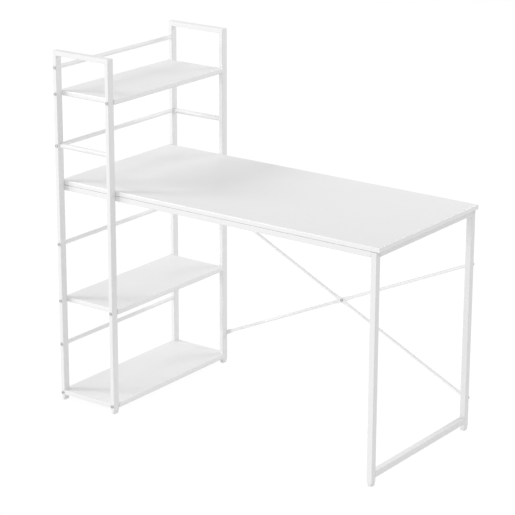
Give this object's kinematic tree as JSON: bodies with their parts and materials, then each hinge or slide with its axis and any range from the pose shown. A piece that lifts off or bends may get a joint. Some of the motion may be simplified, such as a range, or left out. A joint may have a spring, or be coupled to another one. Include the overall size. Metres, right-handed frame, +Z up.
{
  "type": "computer desk",
  "caption": "Computer desk with an open shelf tower at its left end, white boards on a white steel tube frame, a rear cross brace and levelling feet.",
  "frame": {"origin": "middle of the footprint, on the floor", "axes": "+X along the desk's length, away from the tower; +Y from the sitter's side to the brace; +Z up"},
  "size_m": [1.2, 0.6136, 1.16],
  "materials": {
    "white_paint": "satin powder coat",
    "white_board": "white melamine face with edge band",
    "zinc_steel": "bright zinc",
    "white_plastic": "moulded nylon"
  },
  "bodies": {
    "desk": {"bottom_bar_front": "white_paint", "bottom_bar_rear": "white_paint", "brace_crossing_bolt": "zinc_steel", "brace_crossing_nut": "zinc_steel", "brace_end_bolts": "zinc_steel", "brace_end_nuts": "zinc_steel", "brace_rod_falling": "white_paint", "brace_rod_rising": "white_paint", "desk_rail_bolts": "zinc_steel", "desk_rail_end_plates": "white_paint", "desk_rail_front": "white_paint", "desk_rail_nuts": "zinc_steel", "desk_rail_plugs": "zinc_steel", "desk_rail_rear": "white_paint", "desktop": "white_board", "desktop_screws": "zinc_steel", "leg_bolts": "white_paint", "leg_bottom_bar": "white_paint", "leg_post_front": "white_paint", "leg_post_plugs": "white_plastic", "leg_post_rear": "white_paint", "leg_top_bar": "white_paint", "mid_rail_front": "white_paint", "mid_rail_rear": "white_paint", "post_front_left": "white_paint", "post_front_right": "white_paint", "post_rear_left": "white_paint", "post_rear_right": "white_paint", "shelf_bolts": "zinc_steel", "shelf_bottom": "white_board", "shelf_inserts": "zinc_steel", "shelf_lower": "white_board", "shelf_top": "white_board", "side_rail_bolts": "zinc_steel", "side_rail_low": "white_paint", "side_rail_middle": "white_paint", "side_rail_plugs": "zinc_steel", "side_rail_top": "white_paint", "side_rail_upper": "white_paint", "top_bar_front": "white_paint", "top_bar_rear": "white_paint", "tower_post_plugs": "white_plastic"},
    "levelling_foot_front_left": {"foot_front_left": "white_plastic", "foot_stud_front_left": "zinc_steel"},
    "levelling_foot_front_right": {"foot_front_right": "white_plastic", "foot_stud_front_right": "zinc_steel"},
    "levelling_foot_rear_left": {"foot_rear_left": "white_plastic", "foot_stud_rear_left": "zinc_steel"},
    "levelling_foot_rear_right": {"foot_rear_right": "white_plastic", "foot_stud_rear_right": "zinc_steel"},
    "levelling_foot_leg_front": {"foot_leg_front": "white_plastic", "foot_stud_leg_front": "zinc_steel"},
    "levelling_foot_leg_rear": {"foot_leg_rear": "white_plastic", "foot_stud_leg_rear": "zinc_steel"}
  },
  "joints": [
    {"name": "levelling_foot_front_left_screw", "type": "slide", "parent": "desk", "child": "levelling_foot_front_left", "axis": [0, 0, -1], "range_m": [0, 0.006]},
    {"name": "levelling_foot_front_right_screw", "type": "slide", "parent": "desk", "child": "levelling_foot_front_right", "axis": [0, 0, -1], "range_m": [0, 0.006]},
    {"name": "levelling_foot_rear_left_screw", "type": "slide", "parent": "desk", "child": "levelling_foot_rear_left", "axis": [0, 0, -1], "range_m": [0, 0.006]},
    {"name": "levelling_foot_rear_right_screw", "type": "slide", "parent": "desk", "child": "levelling_foot_rear_right", "axis": [0, 0, -1], "range_m": [0, 0.006]},
    {"name": "levelling_foot_leg_front_screw", "type": "slide", "parent": "desk", "child": "levelling_foot_leg_front", "axis": [0, 0, -1], "range_m": [0, 0.006]},
    {"name": "levelling_foot_leg_rear_screw", "type": "slide", "parent": "desk", "child": "levelling_foot_leg_rear", "axis": [0, 0, -1], "range_m": [0, 0.006]}
  ]
}
